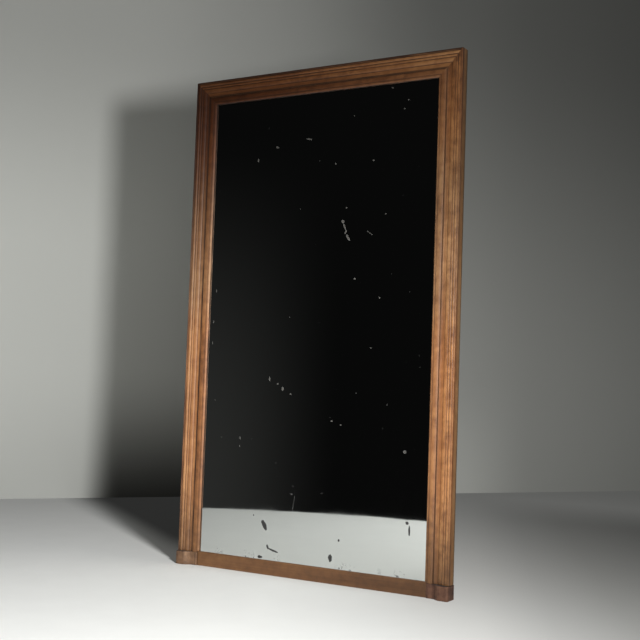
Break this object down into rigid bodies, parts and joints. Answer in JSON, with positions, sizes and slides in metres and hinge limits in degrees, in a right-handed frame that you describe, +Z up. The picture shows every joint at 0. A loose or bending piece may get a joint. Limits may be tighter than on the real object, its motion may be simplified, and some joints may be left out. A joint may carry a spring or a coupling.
{
  "type": "full-length mirror",
  "caption": "Tall free-standing mirror with a moulded walnut frame, mitred at the top, on two plinth blocks joined by a plain bottom rail.",
  "frame": {"origin": "centre of the base rectangle, on the plane that the plinth blocks and the bottom rail stand on", "axes": "+X across the mirror to the right as seen from the front, -Y out of the glass towards the viewer, +Z up along the mirror"},
  "size_m": [1.213, 0.058, 2.005],
  "materials": {
    "moulding_walnut": "old waxed walnut with a strong straight grain, worn paler on its edges",
    "sight_walnut": "old waxed walnut, dull in the grooves",
    "rail_walnut": "old walnut board with little wax left, scuffed",
    "plinth_walnut": "greyed, knocked and scuffed walnut",
    "core_oak": "dry sawn oak",
    "batten_pine": "dry aged pine",
    "board_pine": "dry aged pine boards with knots",
    "glass_block_pine": "sawn softwood with old glue",
    "mirror_glass": "old mirror plate with small losses in its silver",
    "silver_coat": "silver coat under grey protective paint",
    "brown_paper": "brown lining paper",
    "rest_leather": "hard sole leather",
    "wrought_iron": "dark wrought iron with light rust",
    "screw_steel": "dull steel, browned with age"
  },
  "bodies": {
    "root": {"left_outer_moulding": "moulding_walnut", "right_outer_moulding": "moulding_walnut", "top_outer_moulding": "moulding_walnut", "left_sight_moulding": "sight_walnut", "right_sight_moulding": "sight_walnut", "top_sight_moulding": "sight_walnut", "bottom_rail": "rail_walnut", "left_plinth_block": "plinth_walnut", "right_plinth_block": "plinth_walnut", "left_core_stile": "core_oak", "right_core_stile": "core_oak", "top_core_rail": "core_oak", "frame_pegs": "core_oak", "rail_pegs": "core_oak", "block_dowels": "core_oak", "left_back_batten": "batten_pine", "right_back_batten": "batten_pine", "top_back_batten": "batten_pine", "bottom_back_batten": "batten_pine", "backboard_1": "board_pine", "backboard_2": "board_pine", "backboard_3": "board_pine", "backboard_4": "board_pine", "backboard_5": "board_pine", "backboard_6": "board_pine", "backboard_7": "board_pine", "left_glass_blocks": "glass_block_pine", "right_glass_blocks": "glass_block_pine", "top_glass_blocks": "glass_block_pine", "bottom_glass_blocks": "glass_block_pine", "mirror_plate": "mirror_glass", "silvering": "silver_coat", "lining_paper": "brown_paper", "plate_rests": "rest_leather", "left_hanging_plate": "wrought_iron", "right_hanging_plate": "wrought_iron", "side_moulding_screws": "screw_steel", "top_moulding_screws": "screw_steel", "side_batten_screws": "screw_steel", "cross_batten_screws": "screw_steel", "hanging_plate_screws": "screw_steel", "backboard_nails": "screw_steel", "side_sight_pins": "screw_steel", "top_sight_pins": "screw_steel"}
  },
  "joints": []
}
